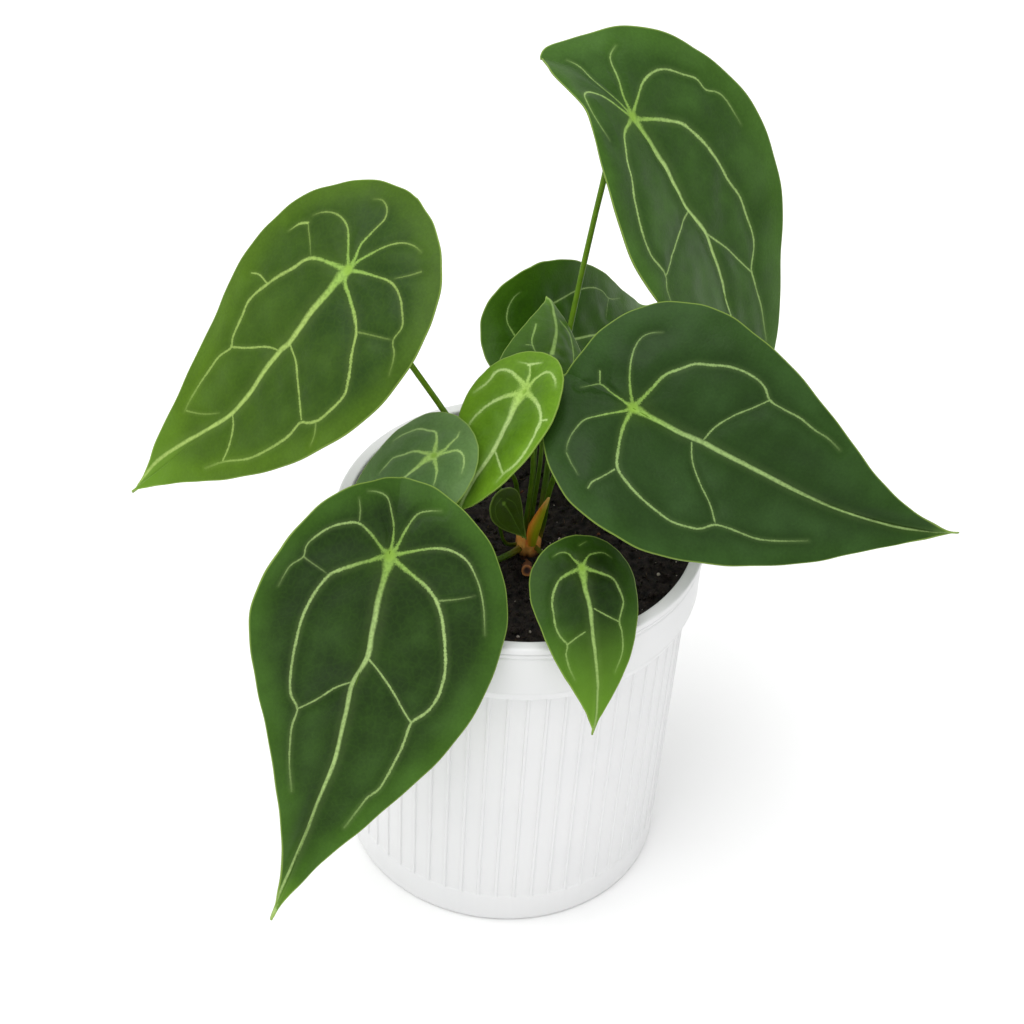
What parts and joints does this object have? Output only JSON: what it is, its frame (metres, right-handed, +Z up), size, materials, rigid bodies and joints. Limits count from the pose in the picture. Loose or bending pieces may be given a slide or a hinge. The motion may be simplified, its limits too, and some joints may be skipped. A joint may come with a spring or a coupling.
{
  "type": "potted anthurium forgetii",
  "caption": "Young anthurium with hanging shield-shaped leaves and pale looping veins, in a white ribbed plastic nursery pot.",
  "frame": {"origin": "centre of the pot's underside, on the surface that the pot stands on", "axes": "+Z is up; -Y is the pot's front, the side that the picture shows; +X is to the right in the picture"},
  "size_m": [0.2615, 0.2159, 0.264],
  "materials": {
    "pot_plastic": "satin moulded plastic",
    "peat": "rough, damp, crumbly",
    "stem": "dull, fibrous",
    "sheath": "satin, dry at the edges",
    "dry_stalk": "dull, dry",
    "leaf_green": "satin, slightly velvety",
    "leaf_dark": "satin, slightly velvety",
    "leaf_young": "satin",
    "leaf_back": "satin"
  },
  "bodies": {
    "root": {"pot": "pot_plastic", "soil": "peat", "stem_base": "stem", "cataphyll": "sheath", "cut_stalk": "dry_stalk", "leaf_left": "leaf_green", "leaf_top": "leaf_green", "leaf_right": "leaf_dark", "leaf_front": "leaf_dark", "leaf_front_small": "leaf_green", "leaf_young": "leaf_young", "leaf_centre_small": "leaf_dark", "leaf_back": "leaf_back", "leaf_upturned": "leaf_back", "leaf_tiny": "leaf_dark"}
  },
  "joints": []
}
